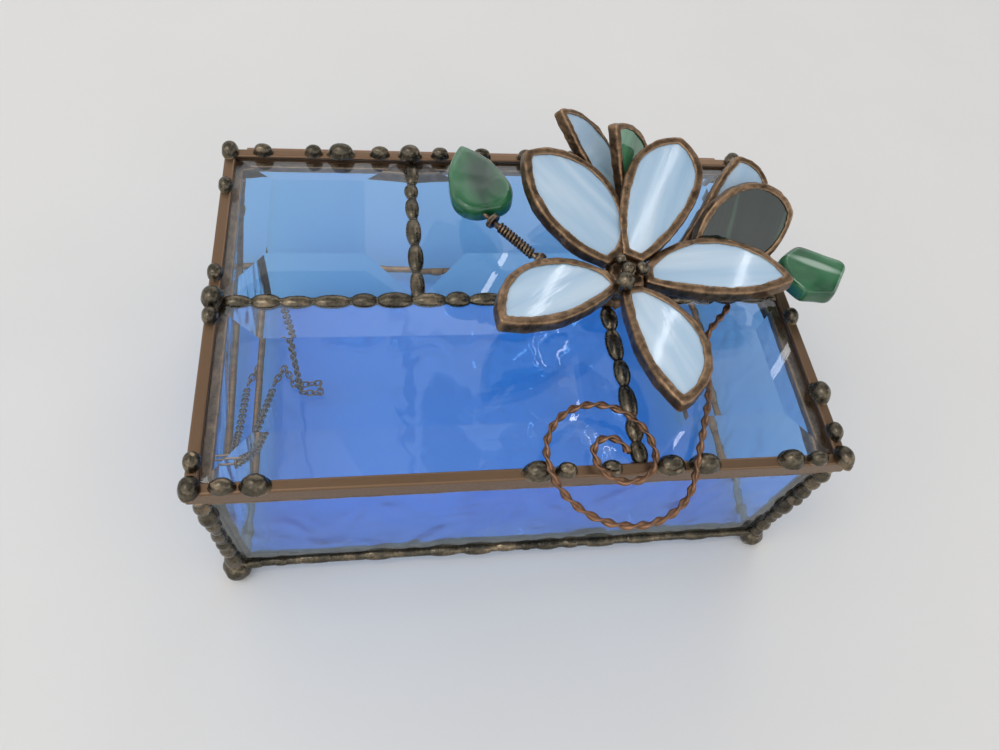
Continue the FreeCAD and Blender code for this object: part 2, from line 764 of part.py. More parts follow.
# Links along a straight run. The first lies square to the first axis, each next one is turned a
# quarter, and a small even twist brings the last one edge-on to the bend that follows it.
def chain_run(link, start, end, first_axis, onward):
    run = end - start
    along = Vector(run).normalize()
    count = math.ceil(run.Length / (link_length - chain_wire - chain_play))
    pitch = run.Length / count
    normal = (first_axis - along * first_axis.dot(along)).normalize()
    twist = 0.0
    if onward is not None:
        wanted = along.cross(onward.cross(along)).normalize()
        roll = math.degrees(math.atan2(normal.cross(wanted).dot(along), normal.dot(wanted)))
        twist = ((roll - 90.0 * (count - 1) + 90.0) % 180.0 - 90.0) / (count - 1)
    links = []
    for index in range(count):
        turned = FreeCAD.Rotation(along, (90.0 + twist) * index).multVec(normal)
        frame = FreeCAD.Rotation(along, turned.cross(along), turned, "XYZ")
        copy = link.copy()
        copy.Placement = FreeCAD.Placement(start + along * (pitch * (index + 1) - link_length / 2), frame)
        links.append(copy)
    return links


def chain_side(link, name, points):
    headings = [(after - before).normalize() for before, after in zip(points, points[1:])]
    runs = {}
    for index, heading in enumerate(headings):
        axis = heading.cross(headings[index - 1]) if index else Vector(1, 0, 0)
        onward = headings[index + 1] if index + 1 < len(headings) else None
        runs["chain_%s_run_%d" % (name, index + 1)] = chain_run(
            link, points[index], points[index + 1], axis, onward)
    return runs


# Wire staples that the chain's ends hang from, each with its wire along X where the link bears
def wall_eye_staple():
    bend = wall_eye.x + link_width / 2
    low, high = wall_eye.z, wall_eye.z + 2 * eye_radius
    y = wall_eye.y
    edges = [
        Part.makeLine(Vector(rim_face_x, y, low), Vector(bend, y, low)),
        Part.Arc(
            Vector(bend, y, low), Vector(bend + eye_radius, y, low + eye_radius),
            Vector(bend, y, high)).toShape(),
        Part.makeLine(Vector(bend, y, high), Vector(rim_face_x, y, high)),
    ]
    return tube(edges, eye_wire / 2)


def lid_eye_staple(cutters):
    x, y, r = lid_eye.x, lid_eye.y, eye_radius
    bend = lid_eye.z + r
    edges = [
        Part.makeLine(Vector(x - r, y, seam_z), Vector(x - r, y, bend)),
        Part.Arc(Vector(x - r, y, bend), lid_eye, Vector(x + r, y, bend)).toShape(),
        Part.makeLine(Vector(x + r, y, bend), Vector(x + r, y, seam_z)),
    ]
    return biggest(carve(tube(edges, eye_wire / 2), cutters))


left_tip = lid_point(left_leaf_tip.x, left_leaf_tip.y, left_leaf_tip.z)

os.makedirs("parts", exist_ok=True)

walls = glass_box()
wall_list = list(walls.values())
feet = ball_feet(wall_list)
rim = top_rim(wall_list)
uprights = corner_seams(wall_list + feet + rim)
base_seams = bottom_seams(wall_list + feet + list(uprights.values()))
pin = hinge_rod(wall_list + rim + list(uprights.values()))
for name, solid in {**walls, **uprights}.items():
    save(name, [solid])
save("top_rim", rim)
save("ball_feet", feet)
save("bottom_seams", base_seams)
save("hinge_rod", [pin])

panes = lid_panes()
pane_list = list(panes.values())
frame = {name: biggest(carve(strip, pane_list)) for name, strip in lid_frame().items()}
frame_list = list(frame.values())
seams = lid_seams(pane_list + frame_list)
seam_list = list(seams.values())
handle = wire_handle()
tube_piece = hinge_tube()
for name, solid in {**panes, **frame, **seams}.items():
    save(name, [solid])
save("hinge_tube", [tube_piece])
save("wire_handle", [handle])
save("solder_balls", lid_balls(pane_list + frame_list + seam_list + [handle]))

petal_glass, petal_rims, petal_outers = petal_pieces()
support = flower_support(pane_list + seam_list + petal_outers)
for name, solid in {**petal_glass, **petal_rims}.items():
    save(name, [solid])
save("stamens", stamen_balls(support, petal_outers))
bud_nodes, bud_outers = bud_pieces(petal_outers + [support])
for name, solids in bud_nodes.items():
    save(name, solids)
stems = bud_stems(petal_outers + bud_outers + [support])
for name, solid in left_leaf_pieces([support]).items():
    save(name, [solid])
right_leaf, right_stem = right_leaf_pieces([support])
save("right_leaf", [right_leaf])
save("flower_support", [support, right_stem] + stems)

link = chain_link()
wall_points = [wall_eye, Vector(*chain_knee), Vector(*chain_wall_end, chain_z)]
lid_points = [lid_eye] + [Vector(x, y, chain_z) for x, y in chain_floor_route]
for name, links in {**chain_side(link, "wall", wall_points), **chain_side(link, "lid", lid_points)}.items():
    save(name, links)
save("chain_wall_eye", [wall_eye_staple()])
save("chain_lid_eye", [lid_eye_staple([seams["lid_seam_long"]])])
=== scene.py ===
import math
import random

import bmesh
import bpy
from mathutils import Matrix, Vector, noise


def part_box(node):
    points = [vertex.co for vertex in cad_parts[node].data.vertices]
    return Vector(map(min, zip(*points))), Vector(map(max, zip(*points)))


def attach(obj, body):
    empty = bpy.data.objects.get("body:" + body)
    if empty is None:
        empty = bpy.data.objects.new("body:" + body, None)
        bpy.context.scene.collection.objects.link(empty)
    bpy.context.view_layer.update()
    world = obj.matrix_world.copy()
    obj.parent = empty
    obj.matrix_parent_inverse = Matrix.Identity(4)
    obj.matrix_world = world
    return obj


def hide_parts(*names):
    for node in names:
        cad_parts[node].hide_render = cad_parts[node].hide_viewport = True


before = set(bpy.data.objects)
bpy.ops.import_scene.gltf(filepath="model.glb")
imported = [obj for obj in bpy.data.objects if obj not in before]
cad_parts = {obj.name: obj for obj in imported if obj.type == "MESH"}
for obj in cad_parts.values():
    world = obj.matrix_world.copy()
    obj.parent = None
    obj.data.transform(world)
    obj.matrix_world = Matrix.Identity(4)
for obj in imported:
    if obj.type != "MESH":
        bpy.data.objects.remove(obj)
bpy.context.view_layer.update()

mm = 0.001
random.seed(41)

# The channel round the lid gives the middle of the box and the height of the lid
strips = [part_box("lid_came_" + side) for side in ("front", "right", "back", "left")]
lidLow = Vector([min(low[i] for low, high in strips) for i in range(3)])
lidHigh = Vector([max(high[i] for low, high in strips) for i in range(3)])
middle = Vector(((lidLow.x + lidHigh.x) / 2, (lidLow.y + lidHigh.y) / 2, 0))
lidTop = lidHigh.z
print("frame loaded")


def at(x, y, z):  # millimetres from the middle of the box, z up from the table
    return middle + Vector((x, y, z)) * mm


def onLid(x, y, lift):  # the same, z up from the top of the lid's channel
    return middle + Vector((x * mm, y * mm, lidTop + lift * mm))


# Materials

def linear(hexColour):  # sRGB hex to the linear colour that a shader takes
    parts = [int(hexColour[i:i + 2], 16) / 255 for i in (1, 3, 5)]
    return [c / 12.92 if c <= 0.04045 else ((c + 0.055) / 1.055) ** 2.4 for c in parts] + [1.0]


def perMetre(sizeMm):  # pattern scale for features of this size
    return 1 / (sizeMm * mm)


def addNode(material, kind, inputs=None, **settings):
    added = material.node_tree.nodes.new(kind)
    for name, value in settings.items():
        setattr(added, name, value)
    for name, value in (inputs or {}).items():
        if isinstance(value, bpy.types.NodeSocket):
            material.node_tree.links.new(value, added.inputs[name])
        else:
            added.inputs[name].default_value = value
    return added


def startMaterial(name):
    material = bpy.data.materials.new(name)
    material.use_nodes = True
    material.node_tree.nodes.clear()
    place = addNode(material, "ShaderNodeTexCoord").outputs["Object"]
    return material, place


def ramp(material, factor, stops):  # stops are (position, hex colour)
    added = addNode(material, "ShaderNodeValToRGB", {"Fac": factor})
    elements = added.color_ramp.elements
    for index, (position, colour) in enumerate(stops):
        element = elements[index] if index < 2 else elements.new(position)
        element.position = position
        element.color = linear(colour)
    return added.outputs["Color"]


patinaSettings = {
    "solderPatina": {  # tin solder, melted on in blobs and blackened, copper showing in the creases
        "dark": "#2E2A25", "body": "#5D5649", "rubbed": "#9A866C", "crease": "#96694A",
        "cloudMm": 5.5, "rough": (0.20, 0.34), "edge": (0.52, 0.64), "dent": 0.00002},
    "rimPatina": {  # copper foil flooded with solder and washed with copper patina
        "dark": "#33291F", "body": "#6A5541", "rubbed": "#9A7D61", "crease": "#4A3828",
        "cloudMm": 3.0, "rough": (0.28, 0.44), "edge": (0.50, 0.60), "dent": 0.00003},
    "channelPatina": {  # extruded zinc channel, copper plated by the patina, wiped along its length
        "dark": "#382A1F", "body": "#5F4A38", "rubbed": "#7C634D", "crease": "#38291F",
        "cloudMm": 5.0, "rough": (0.28, 0.44), "edge": (0.50, 0.58), "dent": 0.00003},
    "copperWirePatina": {  # drawn copper wire, gone brown in the air
        "dark": "#281C16", "body": "#4E392D", "rubbed": "#85644D", "crease": "#1F1611",
        "cloudMm": 1.8, "rough": (0.26, 0.40), "edge": (0.50, 0.60), "dent": 0.00002},
    "darkWirePatina": {  # the same wire, blackened with the solder round it
        "dark": "#1C1916", "body": "#3D362E", "rubbed": "#8B7660", "crease": "#191613",
        "cloudMm": 1.6, "rough": (0.24, 0.38), "edge": (0.50, 0.60), "dent": 0.00002},
    "foilPatina": {  # copper foil lapped on the glass, thinly tinned, brown from the wash
        "dark": "#5A3E2C", "body": "#8A6347", "rubbed": "#B08560", "crease": "#5A3E2C",
        "cloudMm": 3.0, "rough": (0.34, 0.50), "edge": (0.50, 0.60), "dent": 0.00002},
    "chainPatina": {  # fine brass chain, darkened
        "dark": "#3C2E25", "body": "#7E654F", "rubbed": "#A88D73", "crease": "#3A2C22",
        "cloudMm": 1.2, "rough": (0.30, 0.42), "edge": (0.50, 0.60), "dent": 0.00001},
}


def patina(name):
    s = patinaSettings[name]
    material, place = startMaterial(name)
    cloud = addNode(material, "ShaderNodeTexNoise", {
        "Vector": place, "Scale": perMetre(s["cloudMm"]), "Detail": 5.0, "Roughness": 0.62})
    fine = addNode(material, "ShaderNodeTexNoise", {
        "Vector": place, "Scale": perMetre(s["cloudMm"] / 6), "Detail": 3.0, "Roughness": 0.6})
    worn = addNode(material, "ShaderNodeMapRange", {
        "Value": addNode(material, "ShaderNodeNewGeometry").outputs["Pointiness"],
        "From Min": s["edge"][0], "From Max": s["edge"][1], "To Min": 0.0, "To Max": 0.75})
    mixed = addNode(material, "ShaderNodeMath", {
        0: cloud.outputs["Fac"], 1: worn.outputs["Result"]}, operation="ADD")
    speck = addNode(material, "ShaderNodeMath", {
        0: fine.outputs["Fac"], 1: 0.35, 2: mixed.outputs["Value"]}, operation="MULTIPLY_ADD")
    colour = ramp(material, speck.outputs["Value"], [
        (0.45, s["dark"]), (0.72, s["body"]), (1.0, s["rubbed"])])
    crease = addNode(material, "ShaderNodeMapRange", {
        "Value": addNode(material, "ShaderNodeNewGeometry").outputs["Pointiness"],
        "From Min": 0.485, "From Max": 0.44, "To Min": 0.0, "To Max": 0.9})
    creased = addNode(material, "ShaderNodeMixRGB", {
        "Fac": crease.outputs["Result"], "Color1": colour, "Color2": linear(s["crease"])})
    rough = addNode(material, "ShaderNodeMapRange", {
        "Value": fine.outputs["Fac"], "From Min": 0.3, "From Max": 0.7,
        "To Min": s["rough"][0], "To Max": s["rough"][1]})
    dents = addNode(material, "ShaderNodeBump", {
        "Height": cloud.outputs["Fac"], "Strength": 0.7, "Distance": s["dent"]})
    surface = addNode(material, "ShaderNodeBsdfPrincipled", {
        "Base Color": creased.outputs["Color"], "Metallic": 0.9, "Roughness": rough.outputs["Result"],
        "Normal": dents.outputs["Normal"]})
    addNode(material, "ShaderNodeOutputMaterial", {"Surface": surface.outputs["BSDF"]})
    return material


glassSettings = {
    "blueWaterGlass": {  # cobalt sheet, rolled then fire polished: long soft waves on both faces
        "tint": "#8BC8FF", "lift": 1.0, "waveMm": 15.0, "stretch": (1.0, 1.0, 0.55), "waveDepth": 0.00075,
        "fineMm": 5.0, "fineDepth": 0.00003, "ior": 1.52},
    "bevelledPlate": {  # clear polished plate with ground and polished facets, almost flat
        # the lid's lift above 1 is painted light: shadow and diffuse rays come out of the lid brighter than they went
        # in, which brightens the inside of the box
        "tint": "#F8FCFF", "lift": 1.12, "waveMm": 40.0, "stretch": (1.0, 1.0, 1.0), "waveDepth": 0.00002,
        "fineMm": 9.0, "fineDepth": 0.000003, "ior": 1.52},
}


def clearGlass(name):
    s = glassSettings[name]
    tint = linear(s["tint"])
    # lift above 1 is painted light: the glass lets shadow and diffuse rays through brighter than they arrived
    halfTintWithPaintedLight = [math.sqrt(c) * s["lift"] for c in tint[:3]] + [1.0]
    material, place = startMaterial(name)
    turned = addNode(material, "ShaderNodeMapping", {"Vector": place, "Scale": s["stretch"]})
    waves = addNode(material, "ShaderNodeTexNoise", {
        "Vector": turned.outputs["Vector"], "Scale": perMetre(s["waveMm"]), "Detail": 1.0,
        "Distortion": 0.6})
    fine = addNode(material, "ShaderNodeTexNoise", {
        "Vector": place, "Scale": perMetre(s["fineMm"]), "Detail": 1.0})
    low = addNode(material, "ShaderNodeBump", {
        "Height": waves.outputs["Fac"], "Strength": 1.0, "Distance": s["waveDepth"]})
    high = addNode(material, "ShaderNodeBump", {
        "Height": fine.outputs["Fac"], "Strength": 1.0, "Distance": s["fineDepth"],
        "Normal": low.outputs["Normal"]})
    surface = addNode(material, "ShaderNodeBsdfPrincipled", {
        "Base Color": tint, "Roughness": 0.0, "IOR": s["ior"], "Transmission Weight": 1.0,
        "Normal": high.outputs["Normal"]})
    through = addNode(material, "ShaderNodeBsdfTransparent", {"Color": halfTintWithPaintedLight})
    path = addNode(material, "ShaderNodeLightPath")
    soft = addNode(material, "ShaderNodeMath", {
        0: path.outputs["Is Shadow Ray"], 1: path.outputs["Is Diffuse Ray"]}, operation="MAXIMUM")
    mixed = addNode(material, "ShaderNodeMixShader", {
        "Fac": soft.outputs["Value"], 1: surface.outputs["BSDF"], 2: through.outputs["BSDF"]})
    addNode(material, "ShaderNodeOutputMaterial", {"Surface": mixed.outputs["Shader"]})
    return material


streakSettings = {
    "opalSheet": {  # streaky opal sheet glass: white drawn through pale blue, glossy, hardly clear
        "colours": [(0.30, "#98B6CF"), (0.52, "#ABC4D8"), (0.78, "#CAD9E4")],
        "acrossMm": 6.0, "alongMm": 60.0, "glow": 0.35, "clear": 0.0, "rough": 0.07},
    "greenStreakySheet": {  # dark green sheet glass with grey-green streaks
        "colours": [(0.34, "#14211B"), (0.58, "#202F28"), (0.80, "#4C6A55")],
        "acrossMm": 4.0, "alongMm": 60.0, "glow": 0.15, "clear": 0.15, "rough": 0.06},
    "greenOpalSheet": {  # mid green sheet of the back bud
        "colours": [(0.30, "#2F6B4A"), (0.50, "#4E8A63"), (0.72, "#6FA07C")],
        "acrossMm": 3.0, "alongMm": 26.0, "glow": 0.2, "clear": 0.1, "rough": 0.08},
    "castLeafGlass": {  # green glass, cast and fire polished, a paler swirl and a dark heart
        "colours": [(0.34, "#184A2E"), (0.52, "#276A40"), (0.80, "#5A916A")],
        "acrossMm": 9.0, "alongMm": 20.0, "glow": 0.25, "clear": 0.1, "rough": 0.05},
}


def streakyGlass(name, finish, turn=0.0, patch=None):  # turn is the streaks' direction seen from above
    s = streakSettings[finish]
    material, place = startMaterial(name)
    turned = addNode(material, "ShaderNodeMapping", {
        "Vector": place, "Rotation": (0, 0, math.radians(turn)),
        "Scale": (s["alongMm"] / s["acrossMm"], 1.0, s["alongMm"] / s["acrossMm"])}, vector_type="TEXTURE")
    streaks = addNode(material, "ShaderNodeTexNoise", {
        "Vector": turned.outputs["Vector"], "Scale": perMetre(s["acrossMm"]), "Detail": 4.0,
        "Roughness": 0.5, "Distortion": 0.35})
    colour = ramp(material, streaks.outputs["Fac"], s["colours"])
    # the oval is the left leaf's dark heart, and on the right leaf it is a painted highlight
    if patch:  # an oval of another colour with a soft edge
        oval = addNode(material, "ShaderNodeMapping", {
            "Vector": place, "Location": patch["middle"], "Rotation": (0, 0, math.radians(patch["turn"])),
            "Scale": (patch["lengthMm"] * mm, patch["widthMm"] * mm, 1.0)}, vector_type="TEXTURE")
        away = addNode(material, "ShaderNodeVectorMath", {0: oval.outputs["Vector"]}, operation="LENGTH")
        inside = addNode(material, "ShaderNodeMapRange", {
            "Value": away.outputs["Value"], "From Min": patch["soft"], "From Max": 1.0,
            "To Min": patch["share"], "To Max": 0.0})
        colour = addNode(material, "ShaderNodeMixRGB", {
            "Fac": inside.outputs["Result"], "Color1": colour, "Color2": linear(patch["colour"])}).outputs["Color"]
    ripple = addNode(material, "ShaderNodeBump", {
        "Height": streaks.outputs["Fac"], "Strength": 0.5, "Distance": 0.00012})
    surface = addNode(material, "ShaderNodeBsdfPrincipled", {
        "Base Color": colour, "Roughness": s["rough"], "IOR": 1.52,
        "Transmission Weight": s["clear"], "Subsurface Weight": s["glow"],
        "Subsurface Radius": (0.0015, 0.0018, 0.002), "Subsurface Scale": 1.0,
        "Coat Weight": 0.3, "Coat Roughness": 0.03, "Normal": ripple.outputs["Normal"]})
    addNode(material, "ShaderNodeOutputMaterial", {"Surface": surface.outputs["BSDF"]})
    return material


finishes = {name: patina(name) for name in patinaSettings}
finishes.update({name: clearGlass(name) for name in glassSettings})
print("materials made")


# Helpers for pieces

def newPiece(name, mesh, material, body, nodes=()):
    piece = bpy.data.objects.new(name, mesh)
    bpy.context.scene.collection.objects.link(piece)
    mesh.materials.clear()
    mesh.materials.append(material)
    mesh.shade_smooth()
    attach(piece, body)
    if nodes:
        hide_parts(*nodes)
    return piece


def meshFrom(name, points, faces):
    mesh = bpy.data.meshes.new(name)
    mesh.from_pydata([tuple(p) for p in points], [], faces)
    mesh.update()
    return mesh


def applied(piece):  # the piece's mesh with its modifiers worked in
    graph = bpy.context.evaluated_depsgraph_get()
    mesh = bpy.data.meshes.new_from_object(piece.evaluated_get(graph))
    piece.modifiers.clear()
    piece.data = mesh
    return mesh


def melted(name, node, material, body, voxelMm, relax, lumps):  # a CAD solid as if solder had run over it
    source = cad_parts[node]
    work = bmesh.new()
    work.from_mesh(source.data)
    bmesh.ops.remove_doubles(work, verts=work.verts, dist=0.000002)
    mesh = bpy.data.meshes.new(name)
    work.to_mesh(mesh)
    work.free()
    piece = newPiece(name, mesh, material, body, [node])
    voxels = piece.modifiers.new("voxels", "REMESH")
    voxels.mode = "VOXEL"
    voxels.voxel_size = voxelMm * mm
    soften = piece.modifiers.new("soften", "SMOOTH")
    soften.factor = 0.5
    soften.iterations = relax
    mesh = applied(piece)
    normals = [v.normal.copy() for v in mesh.vertices]
    low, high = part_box(node)
    for vertex, normal in zip(mesh.vertices, normals):
        push = 0.0
        for sizeMm, heightMm in lumps:
            push += noise.noise(vertex.co / (sizeMm * mm)) * heightMm * mm
        vertex.co += normal * push
        vertex.co = Vector([min(max(c, l), h) for c, l, h in zip(vertex.co, low, high)])
    mesh.shade_smooth()
    return piece


def sweptTube(rings, closed=False):  # a skin over rings of points, capped at both ends
    points = [p for ring in rings for p in ring]
    count = len(rings[0])
    faces = []
    for row in range(len(rings) - 1):
        for k in range(count):
            after = (k + 1) % count
            a = row * count
            faces.append((a + k, a + after, a + count + after, a + count + k))
    faces.append(tuple(reversed(range(count))))
    last = (len(rings) - 1) * count
    faces.append(tuple(last + k for k in range(count)))
    return points, faces


beadSettings = {
    "lid": {"neckMm": 1.35, "beadMm": 2.45, "lengthMm": 7.4, "uneven": 0.3, "sag": 0.0},
    "corner": {"neckMm": 1.4, "beadMm": 2.25, "lengthMm": 5.4, "uneven": 0.4, "sag": 0.45},
    "bottom": {"neckMm": 1.25, "beadMm": 1.6, "lengthMm": 8.5, "uneven": 0.5, "sag": 0.0},
    "inner": {"neckMm": 1.35, "beadMm": 1.5, "lengthMm": 11.0, "uneven": 0.5, "sag": 0.0},
}


def beadedSeam(start, end, s, seed):  # a solder run of uneven drops, laid from start to end
    chance = random.Random(seed)
    run = end - start
    length = run.length
    along = run.normalized()
    side = along.orthogonal().normalized()
    up = along.cross(side)
    drops = []
    laid = 0.0
    while laid < length:
        half = s["lengthMm"] * mm * (0.5 + chance.uniform(-0.5, 0.5) * s["uneven"])
        size = s["beadMm"] * mm * (1 + chance.uniform(-0.5, 0.25) * s["uneven"])
        lean = (chance.uniform(-0.25, 0.25) * mm, chance.uniform(-0.25, 0.25) * mm)
        drops.append((laid + half, half * 1.06, size, lean))
        laid += 2 * half
    rings = []
    steps = int(length / (0.22 * mm))
    for row in range(steps + 1):
        here = length * row / steps
        radius, shift = s["neckMm"] * mm, (0.0, 0.0)
        for centre, half, size, lean in drops:
            t = (here - centre) / half
            if abs(t) < 1:
                skewed = t - s["sag"] * (1 - t * t)
                swell = math.sqrt(max(1 - skewed * skewed, 0.0))
                reach = size * swell ** 0.75
                if reach > radius:
                    radius, shift = reach, (lean[0] * swell, lean[1] * swell)
        ring = []
        for k in range(20):
            angle = 2 * math.pi * k / 20
            point = start + along * here
            way = side * math.cos(angle) + up * math.sin(angle)
            bump = 1 + 0.035 * noise.noise((point + way * radius) / (1.7 * mm))
            ring.append(point + side * shift[0] + up * shift[1] + way * radius * bump)
        rings.append(ring)
    return sweptTube(rings)


def seamPiece(name, runs, kind, seed, body, nodes, finish="solderPatina"):
    points, faces = [], []
    for index, (start, end) in enumerate(runs):
        more, newFaces = beadedSeam(start, end, beadSettings[kind], seed + index)
        faces += [tuple(len(points) + k for k in face) for face in newFaces]
        points += more
    return newPiece(name, meshFrom(name, points, faces), finishes[finish], body, nodes)


# Glass box

glassLow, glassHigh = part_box("left_glass")[0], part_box("right_glass")[1]
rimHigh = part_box("top_rim")[1].z
for node in ("floor_glass", "front_glass", "back_glass", "left_glass", "right_glass"):
    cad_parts[node].data.materials.clear()
    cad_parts[node].data.materials.append(finishes["blueWaterGlass"])
corners = {
    "front_left": (glassLow.x, glassLow.y), "front_right": (glassHigh.x, glassLow.y),
    "back_left": (glassLow.x, glassHigh.y), "back_right": (glassHigh.x, glassHigh.y)}
for index, (corner, (x, y)) in enumerate(corners.items()):
    start = Vector((x, y, rimHigh - 0.0012))
    end = Vector((x, y, glassLow.z))
    seamPiece("cornerSeam_" + corner, [(start, end)], "corner", 10 + index, "box", ["corner_seam_" + corner])
low, high, z = glassLow, glassHigh, glassLow.z
edges = [
    (Vector((low.x, low.y, z)), Vector((high.x, low.y, z))),
    (Vector((low.x, high.y, z)), Vector((high.x, high.y, z))),
    (Vector((low.x, low.y, z)), Vector((low.x, high.y, z))),
    (Vector((high.x, low.y, z)), Vector((high.x, high.y, z)))]
seamPiece("bottomSeams", edges, "bottom", 30, "box", ["bottom_seams"])

# Foil and solder on the inside of the same edges and corners
low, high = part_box("floor_glass")
z = high.z
inner = [
    (Vector((low.x, low.y, z)), Vector((high.x, low.y, z))),
    (Vector((low.x, high.y, z)), Vector((high.x, high.y, z))),
    (Vector((low.x, low.y, z)), Vector((low.x, high.y, z))),
    (Vector((high.x, low.y, z)), Vector((high.x, high.y, z)))]
inner += [(Vector((x, y, z)), Vector((x, y, rimHigh - 0.004))) for x in (low.x, high.x) for y in (low.y, high.y)]
seamPiece("innerSeams", inner, "inner", 40, "box", [], "foilPatina")
melted("ballFeet", "ball_feet", finishes["solderPatina"], "box", 0.35, 4, [(3.5, 0.5), (1.4, 0.12)])
melted("foilRim", "top_rim", finishes["rimPatina"], "box", 0.4, 1, [(5.0, 0.15), (1.5, 0.06)])
print("glass box dressed")


# Lid

for node in ("front_long", "front_square", "back_square", "back_long"):
    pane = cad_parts["lid_bevel_" + node].data
    pane.materials.clear()
    pane.materials.append(finishes["bevelledPlate"])
for side in ("front", "right", "back", "left"):
    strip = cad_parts["lid_came_" + side].data
    strip.materials.clear()
    strip.materials.append(finishes["channelPatina"])
for index, name in enumerate(("long", "front", "back")):
    low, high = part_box("lid_seam_" + name)
    centre = (low + high) / 2
    start = Vector((low.x, centre.y, centre.z)) if name == "long" else Vector((centre.x, low.y, centre.z))
    end = Vector((high.x, centre.y, centre.z)) if name == "long" else Vector((centre.x, high.y, centre.z))
    seamPiece("lidSeam_" + name, [(start, end)], "lid", 50 + index, "lid", ["lid_seam_" + name])
for node, finish in (("hinge_tube", "copperWirePatina"), ("hinge_rod", "copperWirePatina"),
                     ("left_leaf_coil", "darkWirePatina")):
    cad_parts[node].data.materials.clear()
    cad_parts[node].data.materials.append(finishes[finish])


ballSettings = {"stretch": 1.28, "skirt": 0.35, "dentMm": 0.05}


def looseParts(mesh):  # the boxes of a mesh's separate shells
    work = bmesh.new()
    work.from_mesh(mesh)
    bmesh.ops.remove_doubles(work, verts=work.verts, dist=0.000002)
    left = set(work.verts)
    boxes = []
    while left:
        stack = [left.pop()]
        shell = list(stack)
        while stack:
            for edge in stack.pop().link_edges:
                for vertex in edge.verts:
                    if vertex in left:
                        left.remove(vertex)
                        stack.append(vertex)
                        shell.append(vertex)
        low = Vector([min(v.co[i] for v in shell) for i in range(3)])
        high = Vector([max(v.co[i] for v in shell) for i in range(3)])
        boxes.append((low, high))
    work.free()
    return boxes


def solderBall(centre, radius, along, foot, chance):  # a drop of solder with a skirt where it wets the strip
    work = bmesh.new()
    bmesh.ops.create_icosphere(work, subdivisions=4, radius=radius)
    across = Vector((-along.y, along.x, 0))
    stretch = ballSettings["stretch"] * chance.uniform(0.9, 1.1)
    offset = Vector([chance.uniform(-9, 9) for i in range(3)])
    for vertex in work.verts:
        p = vertex.co
        height = p.z - (foot - centre.z)
        flare = max(0.0, 1 - height / (0.55 * radius)) if height > -radius else 1.0
        grow = 1 + ballSettings["skirt"] * min(flare, 1.0) ** 2
        dent = 1 + noise.noise(p / (1.6 * mm) + offset) * ballSettings["dentMm"] * mm / radius * 1.5
        x, y = p.dot(along) * stretch * dent * grow, p.dot(across) * 0.98 * dent * min(grow, 1.12)
        vertex.co = centre + along * x + across * y + Vector((0, 0, p.z * dent))
        vertex.co.z = max(vertex.co.z, foot - 0.0002)
    points = [v.co.copy() for v in work.verts]
    faces = [tuple(v.index for v in f.verts) for f in work.faces]
    work.free()
    return points, faces


chance = random.Random(7)
points, faces = [], []
for low, high in looseParts(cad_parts["solder_balls"].data):
    radius = max(high.x - low.x, high.y - low.y) / 2
    centre = Vector(((low.x + high.x) / 2, (low.y + high.y) / 2, high.z - radius))
    onEnd = abs(centre.x - middle.x) > (lidHigh.x - lidLow.x) / 2 - 0.004
    along = Vector((0, 1, 0)) if onEnd else Vector((1, 0, 0))
    more, newFaces = solderBall(centre, radius, along, lidTop, chance)
    faces += [tuple(len(points) + k for k in face) for face in newFaces]
    points += more
newPiece("solderBalls", meshFrom("solderBalls", points, faces), finishes["solderPatina"], "lid", ["solder_balls"])
print("lid dressed")


# Lifting handle: two copper wires twisted together and bent into a scroll

handle = {
    "ropeMm": 2.0, "pitchMm": 7.6, "radiiMm": (17.8, 13.0, 7.4, 4.0), "scrollMm": (19.4, -49.0),
    "sweepDegrees": 23.0, "stemMm": ((44.3, -36.0), (49.4, -15.6), (57.0, -8.0), (60.0, -0.7)), "bendMm": 6.0}


def handleLine(s):  # points along the wire's middle, from the scroll's inner end to the long seam
    z = (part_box("wire_handle")[0].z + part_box("wire_handle")[1].z) / 2
    arcs = []
    centreX, side = s["scrollMm"][0], -1
    for index, radius in enumerate(s["radiiMm"]):
        first = -math.radians(s["sweepDegrees"]) if index == 0 else (0.0 if side < 0 else math.pi)
        last = -math.pi if index == 0 else first - math.pi
        arcs.append([(centreX + radius * math.cos(first + (last - first) * k / 40),
                      s["scrollMm"][1] + radius * math.sin(first + (last - first) * k / 40)) for k in range(41)])
        centreX += side * radius
        side = -side
        if index + 1 < len(s["radiiMm"]):
            centreX += side * s["radiiMm"][index + 1]
    line = [p for arc in reversed(arcs) for p in reversed(arc)]
    stem = [line[-1]] + list(s["stemMm"])
    for before, corner, after in zip(stem, stem[1:], stem[2:]):
        b, c, a = Vector(before), Vector(corner), Vector(after)
        arrive, leave = (c - b).normalized(), (a - c).normalized()
        cut = s["bendMm"] * math.tan(arrive.angle(leave) / 2)
        for k in range(13):
            t = k / 12
            line.append(tuple((c - arrive * cut) * (1 - t) ** 2 + c * 2 * t * (1 - t) + (c + leave * cut) * t * t))
    line.append(stem[-1])
    return [middle + Vector((x * mm, y * mm, z)) for x, y in line]


def evenly(line, step):  # the same line with points at even distances
    lengths = [0.0]
    for before, after in zip(line, line[1:]):
        lengths.append(lengths[-1] + (after - before).length)
    total, out, k = lengths[-1], [], 0
    count = int(total / step)
    for index in range(count + 1):
        wanted = total * index / count
        while k < len(line) - 2 and lengths[k + 1] < wanted:
            k += 1
        share = (wanted - lengths[k]) / max(lengths[k + 1] - lengths[k], 1e-9)
        out.append(line[k].lerp(line[k + 1], min(max(share, 0.0), 1.0)))
    return out, total


